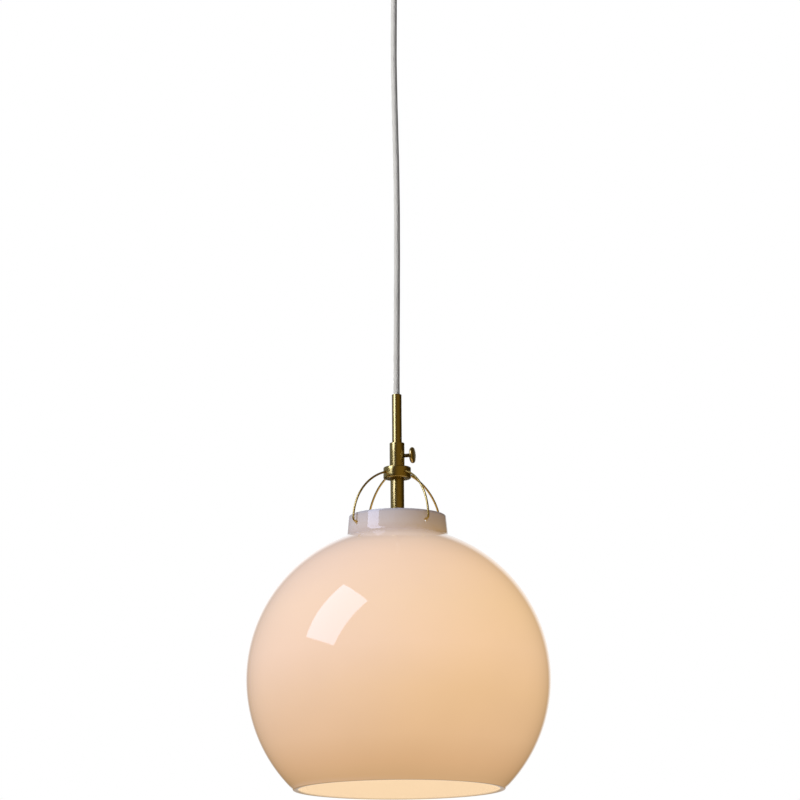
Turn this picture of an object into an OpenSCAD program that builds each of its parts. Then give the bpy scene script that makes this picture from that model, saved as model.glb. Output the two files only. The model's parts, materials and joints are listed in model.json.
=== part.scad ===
// Pendant ceiling light: an opal glass ball on four brass wires, hung on a cord from a ceiling rose.
// Millimetres. The origin is the middle of the bracket's top face, on the ceiling, and +Z is up.

/* [Glass shade] */
// Outer diameter of the ball
shade_d = 300; // [280:1:320]
// Outer diameter of the mouth at the bottom
mouth_d = 206; // [180:1:220]
// Outer diameter of the neck at its rim
neck_rim_d = 96.8; // [92:0.2:100]
// Outer diameter of the neck where it meets the ball
neck_base_d = 100.8; // [96:0.2:104]
// Height of the neck above the ball
neck_h = 20.7; // [18:0.1:24]
// Thickness of the glass
glass_t = 4; // [3:0.5:5]
// Diameter of the holes in the neck
neck_hole_d = 4; // [3.6:0.2:5]

/* [Hanger] */
// Outer diameter of the sleeve that slides on the tube
sleeve_d = 15; // [14:0.5:17]
// Height of the sleeve above the ring
sleeve_h = 24.8; // [22:0.2:28]
// Outer diameter of the ring
ring_d = 27.7; // [26:0.1:30]
// Height of the ring
ring_h = 11.4; // [10:0.2:13]
// Diameter of the wires
wire_d = 2.1; // [1.6:0.1:2.4]
// Bend radius of a wire's long arc
wire_arc_r = 54.6; // [52:0.2:58]
// Angle below level at which a wire leaves the ring
wire_droop = 16.4; // [14:0.2:20]
// Bend radius of a wire's hook
hook_r = 3.3; // [2.6:0.1:4]
// Direction of the first wire, from -Y towards +X
wire_turn = 35; // [0:1:89]

/* [Clamp screw] */
// Diameter of the screw
clamp_d = 4; // [3.6:0.1:4.4]
// Diameter of its knob
knob_d = 16.2; // [14:0.2:18]
// Direction in which it points, from -Y towards +X
clamp_turn = 75; // [45:1:100]

/* [Stem] */
// Outer diameter of the tube
tube_d = 9.8; // [9.8:0.1:10.2]
// Outer diameter of the spacer under the ring
spacer_d = 13.8; // [13:0.2:14.4]
// Depth of the tube's top end below the ceiling
stem_top = 480; // [470:1:600]
// Length of bare tube above the sleeve
tube_show = 49.8; // [48:0.2:60]
// Distance from the ring's lower face down to the mouth's plane
ring_to_mouth = 309.6; // [305:0.2:315]
// Length of the spacer
spacer_h = 64.6; // [60:0.2:66]

/* [Cord] */
// Diameter of the cord
cord_d = 6.2; // [6:0.1:6.3]

/* [Ceiling rose] */
// Diameter of the cup
cup_d = 100; // [96:1:120]
// Height of the cup
cup_h = 27.5; // [27:0.5:29]
// Distance between the two slots for the ceiling screws
slot_pitch = 60; // [58:1:62]

/* [Bulb] */
// Diameter of the globe
bulb_d = 60; // [55:1:65]
// Length of the glass below the cap
bulb_glass_h = 79.5; // [76:0.5:84]

/* [Hidden] */
$fn = 96;
eps = 0.01;
fit = 0.05;          // running clearance, on the radius
shade_r = shade_d / 2;
ball_up = sqrt(pow(shade_r, 2) - pow(mouth_d / 2, 2));
neck_up = sqrt(pow(shade_r, 2) - pow(neck_base_d / 2, 2));
sleeve_z = -stem_top - tube_show;
ring_z = sleeve_z - sleeve_h;
ring_low = ring_z - ring_h;
mouth_z = ring_low - ring_to_mouth;
ball_z = mouth_z + ball_up;
rim_z = ball_z + neck_up + neck_h;
tube_r = tube_d / 2;
tube_bore = 3.6;
wire_r = wire_d / 2;
wire_z = ring_low + ring_h / 2;
wire_end = 88;       // angle below level at which the long arc turns into the hook
wire_out = ring_d / 2 + wire_arc_r * (sin(wire_end) - sin(wire_droop));
wire_down = wire_z + wire_arc_r * (cos(wire_end) - cos(wire_droop));
tail_r = wire_out - hook_r * sin(wire_end);
tail_z = wire_down - hook_r * (1 + cos(wire_end));
neck_hole_z = tail_z - neck_hole_d / 2 + wire_r + fit;
neck_mid_d = (neck_rim_d + neck_base_d) / 2;
tail_in = neck_mid_d / 2 - glass_t - 2;
clamp_z = ring_z + 11.7;
knob_in = 13.6;
cap_top = ring_low - spacer_h;
cap_r = 20;
cap_h = 23;
skirt_h = 44;
insert_h = 16;
skirt_top = cap_top - cap_h;
holder_low = skirt_top - skirt_h;
insert_low = skirt_top - insert_h;
tube_end = cap_top - 11;
tail_low = tube_end - 4;
swing_z = -36;
nod_z = -stem_top - 3;
grip_low = -42;
grip_bore = 3.5;
cup_low = -cup_h;
ear_x = cup_d / 2 - 5;
strap = [2 * ear_x, 20, 2];
side_z = -8;         // height of the cup's side screws
bulb_top = insert_low - 2.6;
bulb_cap_low = bulb_top - 25.5;
cord_sides = 10;

// The cord's route from the nipple's throat to the tube's mouth: it is nearly straight, with the slight
// set that it keeps from its drum.
cord_route = [
    [0, 0, -36], [0, 0, -50], [-0.2, 0, -66], [-0.4, 0, -84], [-0.6, 0.1, -104], [-0.7, 0.2, -124],
    [-0.6, 0.3, -144], [-0.3, 0.3, -164], [0, 0.2, -184], [0.4, 0, -204], [0.8, -0.2, -224],
    [1.1, -0.3, -244], [1.3, -0.3, -264], [1.4, -0.2, -284], [1.4, -0.1, -304], [1.3, 0, -324],
    [1.2, 0.1, -344], [1, 0.2, -364], [0.8, 0.2, -384], [0.6, 0.2, -404], [0.4, 0.1, -424],
    [0.2, 0, -442], [0.1, 0, -456], [0, 0, -468], [0, 0, -483]
];
// The cores' routes in the rose: two to the terminal block and the earth to its tag.
live_route = [
    [0.7, -1.2, -14], [0.7, -1.2, -12.6], [2.6, -2.6, -10], [6, -4, -8.8], [10, -4, -10], [15, -4, -10]
];
neutral_route = [
    [0.7, 1.2, -14], [0.7, 1.2, -12.6], [2.6, 2.6, -10], [6, 4, -8.8], [10, 4, -10], [15, 4, -10]
];
earth_route = [
    [-1.4, 0, -14], [-1.4, 0, -12.6], [-3.6, 0, -9], [-9, 0, -6], [-14, 0, -5], [-19, 0, -4.6]
];

// --- shared shapes ---------------------------------------------------------------------------------

// A ring of points round a path's point n, square to the path there.
function unit(v) = v / norm(v);
function heading(path, n) =
    unit(path[min(n + 1, len(path) - 1)] - path[max(n - 1, 0)]);
function ring_at(path, n, r, sides, side) =
    let (
        along = heading(path, n),
        u = unit(cross(side, along)),
        v = cross(along, u)
    )
    [for (k = [0:sides - 1]) path[n] + r * (cos(360 * k / sides) * u + sin(360 * k / sides) * v)];

// A round bar along a path. side is any direction that the path never takes.
module swept(path, r, sides, side) {
    last = len(path) - 1;
    points = [for (n = [0:last]) each ring_at(path, n, r, sides, side)];
    walls = [
        for (n = [0:last - 1], k = [0:sides - 1])
            let (next = (k + 1) % sides)
            [n * sides + k, n * sides + next, (n + 1) * sides + next, (n + 1) * sides + k]
    ];
    first_end = [[for (k = [0:sides - 1]) sides - 1 - k]];
    last_end = [[for (k = [0:sides - 1]) last * sides + k]];
    polyhedron(points, concat(first_end, walls, last_end), convexity = 6);
}

// A tube from height low to height high.
module pipe(low, high, r_out, r_in) {
    translate([0, 0, low])
        difference() {
            cylinder(h = high - low, r = r_out);
            translate([0, 0, -1])
                cylinder(h = high - low + 2, r = r_in);
        }
}

// Turns a shape that points along +X to the direction turn, from -Y towards +X.
module facing(turn) {
    rotate([0, 0, turn - 90])
        children();
}

// A six-sided nut from height low, with a round hole.
module nut(low, h, across, r_in) {
    translate([0, 0, low])
        difference() {
            cylinder(h = h, r = across / 2 / cos(30), $fn = 6);
            translate([0, 0, -1])
                cylinder(h = h + 2, r = r_in);
        }
}

// --- ceiling rose ----------------------------------------------------------------------------------

slot_r = 2.25;
slot_long = 12;
supply_r = 6;
ear_h = 14;

// A flat strap with two slots for the ceiling screws, a hole for the supply and an ear at each end.
module ceiling_bracket() {
    color("silver")
        difference() {
            union() {
                translate([-ear_x, -strap[1] / 2, -strap[2]])
                    cube(strap);
                for (s = [-1, 1])
                    translate([s * (ear_x - strap[2] / 2) - strap[2] / 2, -strap[1] / 2, -ear_h])
                        cube([strap[2], strap[1], ear_h]);
            }
            for (s = [-1, 1])
                translate([s * slot_pitch / 2, 0, 0])
                    slot_cut();
            translate([0, 0, -strap[2] - 1])
                cylinder(h = strap[2] + 2, r = supply_r);
            translate([-ear_x - 1, 0, side_z])
                rotate([0, 90, 0])
                    cylinder(h = 2 * ear_x + 2, r = 1.5 + fit);
        }
}

module slot_cut() {
    flat = slot_long / 2 - slot_r;
    translate([0, 0, -strap[2] - 1]) {
        for (s = [-1, 1])
            translate([s * flat, 0, 0])
                cylinder(h = strap[2] + 2, r = slot_r);
        translate([-flat, -slot_r, 0])
            cube([2 * flat, 2 * slot_r, strap[2] + 2]);
    }
}

cup_t = 1;
cup_round = 9;

// The cup's outline, half of it, grown or shrunk by inset.
module cup_outline(inset) {
    r = cup_round - inset;
    translate([0, inset])
        square([cup_d / 2 - cup_round, cup_h]);
    translate([0, cup_round])
        square([cup_d / 2 - inset, cup_h]);
    translate([cup_d / 2 - cup_round, cup_round])
        circle(r = r);
}

module canopy_cup() {
    color("darkkhaki")
        difference() {
            translate([0, 0, cup_low])
                rotate_extrude()
                    difference() {
                        cup_outline(0);
                        cup_outline(cup_t);
                        translate([0, cup_h - 0.3])
                            square([cup_d, cup_h]);
                        translate([-cup_d, -1])
                            square([cup_d, 2 * cup_h]);
                    }
            translate([0, 0, cup_low - 1])
                cylinder(h = 3, r = 5 + fit);
            translate([-cup_d, 0, side_z])
                rotate([0, 90, 0])
                    cylinder(h = 2 * cup_d, r = 1.7);
        }
}

module canopy_side_screws() {
    color("darkkhaki")
        for (s = [0, 180])
            rotate([0, 0, s])
                translate([ear_x - 4, 0, side_z])
                    rotate([0, 90, 0]) {
                        cylinder(h = cup_d / 2 + 0.1 - ear_x + 4, r = 1.5);
                        translate([0, 0, cup_d / 2 + 0.1 - ear_x + 4])
                            screw_head(3, 2);
                    }
}

// A low domed head with a slot across it.
module screw_head(r, h) {
    ball = (r * r + h * h) / (2 * h);
    difference() {
        intersection() {
            translate([0, 0, h - ball])
                sphere(r = ball);
            cylinder(h = h, r = r);
        }
        translate([-r, -0.35, h * 0.5])
            cube([2 * r, 0.7, h]);
    }
}

// A threaded nipple through the cup's floor. Its mouth flares, so that the cord can swing in it.
module cord_grip_nipple() {
    color("darkkhaki")
        difference() {
            rotate_extrude()
                polygon([
                    [grip_bore, cup_low + 11], [grip_bore, swing_z], [6.2, grip_low],
                    [7.2, grip_low], [8, grip_low + 0.8], [8, cup_low - 0.8], [7.2, cup_low],
                    [5, cup_low], [5, cup_low + 11]
                ]);
            translate([0, 0, cup_low - 4])
                rotate([-90, 0, 0])
                    cylinder(h = 10, r = 1.5 + fit);
        }
}

module cord_grip_nut() {
    color("darkkhaki")
        nut(cup_low + cup_t, 3.5, 14, 5 + fit);
}

module cord_grip_screw() {
    color("ivory")
        translate([0, cord_d / 2 + 0.05, cup_low - 4])
            rotate([-90, 0, 0])
                difference() {
                    cylinder(h = 5, r = 1.5);
                    translate([-2, -0.35, 4])
                        cube([4, 0.7, 2]);
                }
}

block_x = 13;
block = [26, 17, 11];
block_z = -strap[2] - block[2];
pole_pitch = 8;

// A two-pole block under the strap, with a row of round ways for the cores.
module terminal_block() {
    color("whitesmoke")
        difference() {
            translate([block_x, -block[1] / 2, block_z])
                cube(block);
            for (s = [-1, 1])
                translate([block_x - 1, s * pole_pitch / 2, block_z + 3])
                    rotate([0, 90, 0])
                        cylinder(h = block[0] + 2, r = 1.5);
            for (s = [-1, 1], x = [6, 20])
                translate([block_x + x, s * pole_pitch / 2, block_z - 1])
                    cylinder(h = 3, r = 1.5 + fit);
            translate([slot_pitch / 2, 0, block_z - 1])
                cylinder(h = block[2] + 2, r = 2);
        }
}

module terminal_screws() {
    color("silver")
        for (s = [-1, 1], x = [6, 20])
            translate([block_x + x, s * pole_pitch / 2, block_z])
                difference() {
                    cylinder(h = 1.8, r = 1.5);
                    translate([-2, -0.3, -1])
                        cube([4, 0.6, 1.8]);
                }
}

earth_x = -22;

// The earth core's ring tag, held under the strap by a screw.
module earth_tag() {
    color("silver")
        translate([earth_x, 0, -strap[2] - 0.8])
            difference() {
                union() {
                    cylinder(h = 0.8, r = 3.2);
                    translate([0, -1.5, 0])
                        cube([5, 3, 0.8]);
                }
                translate([0, 0, -1])
                    cylinder(h = 3, r = 1.6);
            }
}

module earth_screw() {
    color("gold")
        translate([earth_x, 0, -strap[2] - 0.8])
            rotate([180, 0, 0])
                screw_head(2.6, 1.8);
}

core_r = 1;

module live_core_top() {
    color("saddlebrown")
        swept(live_route, core_r, 8, [0.3, 1, 1]);
}

module neutral_core_top() {
    color("steelblue")
        swept(neutral_route, core_r, 8, [0.3, -1, 1]);
}

module earth_core_top() {
    color("yellowgreen")
        swept(earth_route, core_r, 8, [0, 1, 0]);
}

// The clamped end of the cord, inside the nipple.
module cord_head() {
    color("gainsboro")
        translate([0, 0, swing_z + 1.3])
            cylinder(h = -14 - swing_z - 1.3, r = cord_d / 2);
}

// --- cord ------------------------------------------------------------------------------------------

module cord() {
    color("gainsboro")
        swept(cord_route, cord_d / 2, cord_sides, [0, 1, 0]);
}

// --- stem and lampholder ---------------------------------------------------------------------------

// The tube from the cord down into the lampholder's cap. Its mouth is chamfered inside and out.
module stem_tube() {
    top = -stem_top;
    color("goldenrod")
        rotate_extrude()
            polygon([
                [tube_bore, tube_end], [tube_r, tube_end], [tube_r, top - 1], [tube_r - 0.6, top],
                [4.1, top], [tube_bore, top - 3.2]
            ]);
}

// The spacer that the sleeve rests on, between it and the lampholder.
module spacer_tube() {
    color("goldenrod")
        pipe(cap_top, ring_low, spacer_d / 2, tube_r + fit);
}

module cord_tail() {
    color("gainsboro")
        translate([0, 0, tail_low])
            cylinder(h = nod_z - 1 - tail_low, r = cord_d / 2);
}

// A ferrule crimped on the cord under the tube's end, which carries the stem's weight.
module cord_ferrule() {
    color("silver")
        pipe(tail_low, tube_end, 5, cord_d / 2);
}

holder_t = 1.2;
boss_h = 6;
boss_r = 8.5;
dome_r = cap_r - boss_r;
nut_top = cap_top - boss_h - holder_t - fit;
nut_h = 3.5;

// The nut that holds the lampholder's cap up on the tube.
module tube_nut() {
    color("darkkhaki")
        nut(nut_top - nut_h, nut_h, 14, tube_r + fit);
}

// Half of the cap's outline: a boss, a quarter-round dome and a short skirt.
module cap_outline(inset) {
    square([boss_r - inset, cap_h - inset]);
    square([cap_r - inset, cap_h - boss_h - dome_r + eps]);
    intersection() {
        translate([boss_r, cap_h - boss_h - dome_r])
            circle(r = dome_r - inset);
        square([cap_r, cap_h]);
    }
}

module holder_cap() {
    color("goldenrod")
        translate([0, 0, skirt_top])
            rotate_extrude()
                difference() {
                    cap_outline(0);
                    translate([0, -eps])
                        cap_hollow();
                    square([tube_r + fit, 3 * cap_h]);
                }
}

module cap_hollow() {
    square([cap_r - holder_t, cap_h - boss_h - dome_r + 2 * eps]);
    intersection() {
        translate([boss_r, cap_h - boss_h - dome_r])
            circle(r = dome_r - holder_t);
        square([cap_r, cap_h]);
    }
    square([boss_r + eps, cap_h - boss_h - holder_t]);
}

module holder_skirt() {
    color("goldenrod") {
        pipe(holder_low, skirt_top, cap_r, cap_r - holder_t);
    }
}

// A porcelain disc with the seats for the contacts and two ways for the cores.
module holder_insert() {
    color("whitesmoke")
        translate([0, 0, insert_low])
            difference() {
                cylinder(h = insert_h, r = cap_r - holder_t - 0.2);
                for (s = [-1, 1])
                    translate([s * post_x, 0, -1])
                        cylinder(h = insert_h + 2, r = 1.5);
            }
}

shell_r = 13.6;
shell_t = 0.5;

module thread_shell() {
    color("silver")
        pipe(holder_low + 3, insert_low, shell_r + shell_t, shell_r);
}

// A sprung tongue over the bulb's eyelet.
module centre_contact() {
    color("gold")
        translate([-6, -2, insert_low - 2])
            difference() {
                cube([9, 4, 2]);
                translate([1, -1, -1])
                    cube([9, 6, 2.2]);
            }
}

post_x = 8;
post_top = skirt_top + 3;

// The two terminal posts on top of the insert, each over its way.
module holder_terminals() {
    color("gold")
        for (s = [-1, 1])
            translate([s * post_x, 0, skirt_top])
                cylinder(h = post_top - skirt_top, r = 2.2);
}

// A core's way down from the cord's end and across to the top of its post.
core_steps = [[1.4, 5], [1.4, 4.2], [2.6, 3.1], [4.7, 2.5], [6.8, 1.9], [post_x, 0.8], [post_x, 0]];

module core_bottom(s) {
    drop = (tail_low - post_top) / 5;
    swept([for (p = core_steps) [s * p[0], 0, post_top + drop * p[1]]], 0.9, 8, [0, 1, 0]);
}

module live_core_bottom() {
    color("saddlebrown")
        core_bottom(1);
}

module neutral_core_bottom() {
    color("steelblue")
        core_bottom(-1);
}

// --- hanger and shade ------------------------------------------------------------------------------

module slide_sleeve() {
    color("goldenrod")
        difference() {
            rotate_extrude()
                polygon([
                    [tube_r + fit, ring_low], [sleeve_d / 2, ring_low],
                    [sleeve_d / 2, sleeve_z - 0.5], [sleeve_d / 2 - 0.5, sleeve_z],
                    [tube_r + fit, sleeve_z]
                ]);
            facing(clamp_turn)
                translate([0, 0, clamp_z])
                    rotate([0, 90, 0])
                        cylinder(h = sleeve_d, r = clamp_d / 2 + fit);
        }
}

// The ring round the sleeve's foot, with a hole for each wire, drilled at the wires' droop.
module hanger_ring() {
    edge = 0.8;
    color("goldenrod")
        difference() {
            rotate_extrude()
                polygon([
                    [sleeve_d / 2, ring_low], [ring_d / 2 - edge, ring_low],
                    [ring_d / 2, ring_low + edge], [ring_d / 2, ring_z - edge],
                    [ring_d / 2 - edge, ring_z], [sleeve_d / 2, ring_z]
                ]);
            for (k = [0:3])
                facing(wire_turn + 90 * k)
                    translate([ring_d / 2, 0, wire_z])
                        rotate([0, 90 + wire_droop, 0])
                            translate([0, 0, -5])
                                cylinder(h = 10, r = wire_r + fit);
        }
}

// The wire's path outwards from the ring, in the plane Y = 0: straight in its hole, the long arc, the
// hook, and the tail through the glass.
wire_path = [
    for (s = [4.5, 2])
        [ring_d / 2 - s * cos(wire_droop), 0, wire_z + s * sin(wire_droop)],
    for (k = [0:14])
        let (a = wire_droop + (wire_end - wire_droop) * k / 14)
        [
            ring_d / 2 + wire_arc_r * (sin(a) - sin(wire_droop)), 0,
            wire_z + wire_arc_r * (cos(a) - cos(wire_droop))
        ],
    for (k = [1:7])
        let (a = wire_end + (180 - wire_end) * k / 7)
        [
            wire_out + hook_r * (sin(a) - sin(wire_end)), 0,
            wire_down + hook_r * (cos(a) - cos(wire_end))
        ],
    [(tail_r + tail_in) / 2, 0, tail_z],
    [tail_in, 0, tail_z]
];

module hanger_wire(number) {
    color("darkgoldenrod")
        facing(wire_turn + 90 * (number - 1))
            swept(wire_path, wire_r, 12, [0, 1, 0]);
}

// Half of the shade's outline, with the ball's centre at the origin: the ball and the neck.
module shade_outline(inset) {
    circle(r = shade_r - inset, $fn = 180);
    polygon([
        [0, neck_up - 20], [neck_base_d / 2 - inset, neck_up - 20 * (inset > 0 ? 1 : 0)],
        [neck_base_d / 2 - inset, neck_up], [neck_rim_d / 2 - inset, neck_up + neck_h + inset],
        [0, neck_up + neck_h + inset]
    ]);
}

// One wall of opal glass, with four holes in the neck for the wires.
module glass_shade() {
    color("antiquewhite")
        difference() {
            translate([0, 0, ball_z])
                rotate_extrude($fn = 180)
                    difference() {
                        shade_outline(0);
                        shade_outline(glass_t);
                        translate([-shade_d, -shade_d])
                            square([shade_d, 2 * shade_d]);
                        translate([-1, -shade_d])
                            square([shade_d, shade_d - ball_up]);
                    }
            for (k = [0:3])
                facing(wire_turn + 90 * k)
                    translate([neck_mid_d / 2 - glass_t - 3, 0, neck_hole_z])
                        rotate([0, 90, 0])
                            cylinder(h = glass_t + 6, r = neck_hole_d / 2);
        }
}

// --- clamp screw -----------------------------------------------------------------------------------

pad_t = 1.2;
pad_in = tube_r + 0.15;

// A loose pad at the screw's tip, so that the screw doesn't mark the tube.
module clamp_pad() {
    color("peru")
        facing(clamp_turn)
            translate([pad_in, 0, clamp_z])
                rotate([0, 90, 0])
                    cylinder(h = pad_t, r = clamp_d / 2 - 0.1);
}

module clamp_screw() {
    color("goldenrod")
        facing(clamp_turn)
            translate([pad_in + pad_t, 0, clamp_z])
                rotate([0, 90, 0])
                    cylinder(h = knob_in - pad_in - pad_t, r = clamp_d / 2);
}

// A disc knob, domed on both sides.
module clamp_knob() {
    thick = 4.6;
    rise = 1;
    ball = (pow(knob_d / 2, 2) + rise * rise) / (2 * rise);
    color("goldenrod")
        facing(clamp_turn)
            translate([knob_in, 0, clamp_z])
                rotate([0, 90, 0])
                    intersection() {
                        cylinder(h = thick, r = knob_d / 2);
                        translate([0, 0, ball])
                            sphere(r = ball);
                        translate([0, 0, thick - ball])
                            sphere(r = ball);
                    }
}

// --- bulb ------------------------------------------------------------------------------------------

cap_shell_r = 13.1;

module bulb_cap() {
    color("silver")
        difference() {
            translate([0, 0, bulb_cap_low])
                cylinder(h = bulb_top - 3 - bulb_cap_low, r = cap_shell_r);
            translate([0, 0, bulb_cap_low - 1])
                cylinder(h = bulb_top - 4 - bulb_cap_low + 1, r = cap_shell_r - 0.5);
        }
}

// The black insulator with its eyelet.
module bulb_contact() {
    color("dimgray")
        translate([0, 0, bulb_top - 3])
            rotate_extrude()
                polygon([[0, 0], [10, 0], [5.5, 2], [5, 3], [0, 3]]);
}

bulb_r = bulb_d / 2;
globe_z = bulb_cap_low - bulb_glass_h + bulb_r;
glass_neck_r = 12.3;

// Half of the bulb's glass, grown or shrunk by inset: a globe, a tapering shoulder and a neck.
module bulb_outline(inset) {
    translate([0, globe_z])
        circle(r = bulb_r - inset);
    polygon([
        [0, globe_z], [bulb_r * cos(25) - inset, globe_z + bulb_r * sin(25)],
        [glass_neck_r + 3 - inset, bulb_cap_low - 10], [glass_neck_r - inset, bulb_cap_low],
        [glass_neck_r - inset, bulb_cap_low + 12], [0, bulb_cap_low + 12]
    ]);
}

module bulb_glass() {
    color("white")
        rotate_extrude()
            difference() {
                bulb_outline(0);
                bulb_outline(1);
                translate([-bulb_d, globe_z - bulb_d])
                    square([bulb_d, 3 * bulb_d]);
            }
}

mount_r = 2;
foot_r = glass_neck_r - 1.05;
filament_low = globe_z - 12;
filament_h = 34;
filament_out = 8;    // distance of each filament from the bulb's axis
lead_r = 0.4;

// The glass foot that closes the bulb's neck, with the rod that carries the filaments.
module bulb_mount() {
    color("lightgray")
        rotate_extrude()
            polygon([
                [0, bulb_cap_low + 8], [foot_r, bulb_cap_low + 8],
                [foot_r, bulb_cap_low + 6.5], [4, bulb_cap_low], [mount_r, bulb_cap_low - 10],
                [mount_r, filament_low - 2], [0, filament_low - 2]
            ]);
}

// Four upright filaments round the rod, each on two short leads.
module bulb_filaments() {
    color("orange")
        for (k = [0:3])
            rotate([0, 0, 45 + 90 * k]) {
                translate([filament_out, 0, filament_low])
                    cylinder(h = filament_h, r = 0.9, $fn = 24);
                for (z = [1, filament_h - 1])
                    translate([mount_r, 0, filament_low + z])
                        rotate([0, 90, 0])
                            cylinder(h = filament_out - mount_r, r = lead_r, $fn = 24);
            }
}

ceiling_bracket();
canopy_cup();
canopy_side_screws();
cord_grip_nipple();
cord_grip_nut();
cord_grip_screw();
terminal_block();
terminal_screws();
earth_tag();
earth_screw();
live_core_top();
neutral_core_top();
earth_core_top();
cord_head();
cord();
stem_tube();
spacer_tube();
cord_tail();
cord_ferrule();
tube_nut();
holder_cap();
holder_skirt();
holder_insert();
thread_shell();
centre_contact();
holder_terminals();
live_core_bottom();
neutral_core_bottom();
slide_sleeve();
hanger_ring();
hanger_wire(1);  // hanger_wire_1
hanger_wire(2);  // hanger_wire_2
hanger_wire(3);  // hanger_wire_3
hanger_wire(4);  // hanger_wire_4
glass_shade();
clamp_pad();
clamp_screw();
clamp_knob();
bulb_cap();
bulb_contact();
bulb_glass();
bulb_mount();
bulb_filaments();
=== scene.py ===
import json
import math

import bmesh
import bpy
from mathutils import Matrix, Vector


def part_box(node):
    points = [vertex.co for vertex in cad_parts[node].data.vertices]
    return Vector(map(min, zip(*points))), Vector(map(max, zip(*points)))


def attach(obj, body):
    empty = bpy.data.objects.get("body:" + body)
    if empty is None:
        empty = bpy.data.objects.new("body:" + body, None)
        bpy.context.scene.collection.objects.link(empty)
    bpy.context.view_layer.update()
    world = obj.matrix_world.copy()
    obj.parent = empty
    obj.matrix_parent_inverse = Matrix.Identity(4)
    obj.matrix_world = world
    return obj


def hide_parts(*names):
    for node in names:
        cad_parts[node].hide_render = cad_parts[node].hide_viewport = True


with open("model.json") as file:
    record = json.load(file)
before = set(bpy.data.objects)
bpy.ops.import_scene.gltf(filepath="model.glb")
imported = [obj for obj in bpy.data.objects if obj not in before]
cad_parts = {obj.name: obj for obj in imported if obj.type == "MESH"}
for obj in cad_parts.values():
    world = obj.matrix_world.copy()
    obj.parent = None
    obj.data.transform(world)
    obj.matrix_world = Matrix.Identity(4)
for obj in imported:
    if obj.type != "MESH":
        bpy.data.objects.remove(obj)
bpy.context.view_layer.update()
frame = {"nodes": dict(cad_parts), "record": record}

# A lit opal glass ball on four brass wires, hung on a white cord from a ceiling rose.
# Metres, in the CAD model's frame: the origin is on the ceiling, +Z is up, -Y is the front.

scene = bpy.context.scene
MM = 0.001
TAU = 2 * math.pi

# --- heights and radii that the CAD model gives ------------------------------------------------------


def low(name):
    """The height of a CAD node's lowest point, in metres."""
    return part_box(name)[0].z


def high(name):
    """The height of a CAD node's highest point, in metres."""
    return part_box(name)[1].z


def bearing(degrees):
    """The angle from +X of a direction that is given in degrees from -Y towards +X."""
    return math.radians(degrees - 90)


MOUTH_Z = low("glass_shade")
RIM_Z = high("glass_shade")
SHADE_R = 149.95 * MM
MOUTH_R = 103 * MM
BALL_Z = MOUTH_Z + math.sqrt(SHADE_R**2 - MOUTH_R**2)
GLASS_T = 4 * MM
NECK_BASE_R = 50.4 * MM
NECK_RIM_R = 48.4 * MM
NECK_Z = BALL_Z + math.sqrt(SHADE_R**2 - NECK_BASE_R**2)
RING_TOP = high("hanger_ring")
WIRE_TURNS = [bearing(35 + 90 * k) for k in range(4)]
CLAMP_TURN = bearing(75)
CLAMP_Z = RING_TOP + 11.7 * MM

# --- camera ------------------------------------------------------------------------------------------

camera_data = bpy.data.cameras.new("camera")
camera_data.sensor_width = 36
camera_data.lens = 137.8
camera = bpy.data.objects.new("camera", camera_data)
scene.collection.objects.link(camera)
CAMERA_PLACE = (0.0033, -3.0, MOUTH_Z - 0.287)
CAMERA_RISE_DEG = 12.72
CAMERA_ROLL = math.radians(-0.385)
camera.matrix_world = (
    Matrix.Translation(CAMERA_PLACE)
    @ Matrix.Rotation(math.radians(90 + CAMERA_RISE_DEG), 4, "X")
    @ Matrix.Rotation(CAMERA_ROLL, 4, "Z")
)
scene.camera = camera

# --- mesh code ---------------------------------------------------------------------------------------


def mesh_piece(name, verts, faces, body, slot, replaces, place=None, crease=40):
    """A smooth-shaded piece that rides on a body, with sharp edges where its faces meet steeply."""
    mesh = bpy.data.meshes.new(name)
    mesh.from_pydata([tuple(v) for v in verts], [], faces)
    mesh.validate()
    shell = bmesh.new()
    shell.from_mesh(mesh)
    bmesh.ops.recalc_face_normals(shell, faces=shell.faces)
    shell.to_mesh(mesh)
    shell.free()
    mesh.shade_smooth()
    mesh.set_sharp_from_angle(angle=math.radians(crease))
    made = bpy.data.objects.new(name, mesh)
    scene.collection.objects.link(made)
    if place is not None:
        made.matrix_world = place
    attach(made, body)
    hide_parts(*replaces)
    return made


def rounded(corners, steps=4):
    """A closed outline from (r, z) or (r, z, rounding) corners, with an arc at each rounding."""
    outline = []
    for n, corner in enumerate(corners):
        point = Vector(corner[:2])
        rounding = corner[2] if len(corner) > 2 else 0
        if not rounding:
            outline.append(point)
            continue
        a = Vector(corners[n - 1][:2]) - point
        b = Vector(corners[(n + 1) % len(corners)][:2]) - point
        half = a.angle(b) / 2
        reach = min(rounding / math.tan(half), a.length * 0.49, b.length * 0.49)
        centre = point + (a.normalized() + b.normalized()).normalized() * reach / math.cos(half)
        first, last = point + a.normalized() * reach - centre, point + b.normalized() * reach - centre
        sweep = first.angle(last)
        for k in range(steps + 1):
            t = k / steps
            v = (first * math.sin((1 - t) * sweep) + last * math.sin(t * sweep)) / math.sin(sweep)
            outline.append(centre + v)
    return outline


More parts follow.
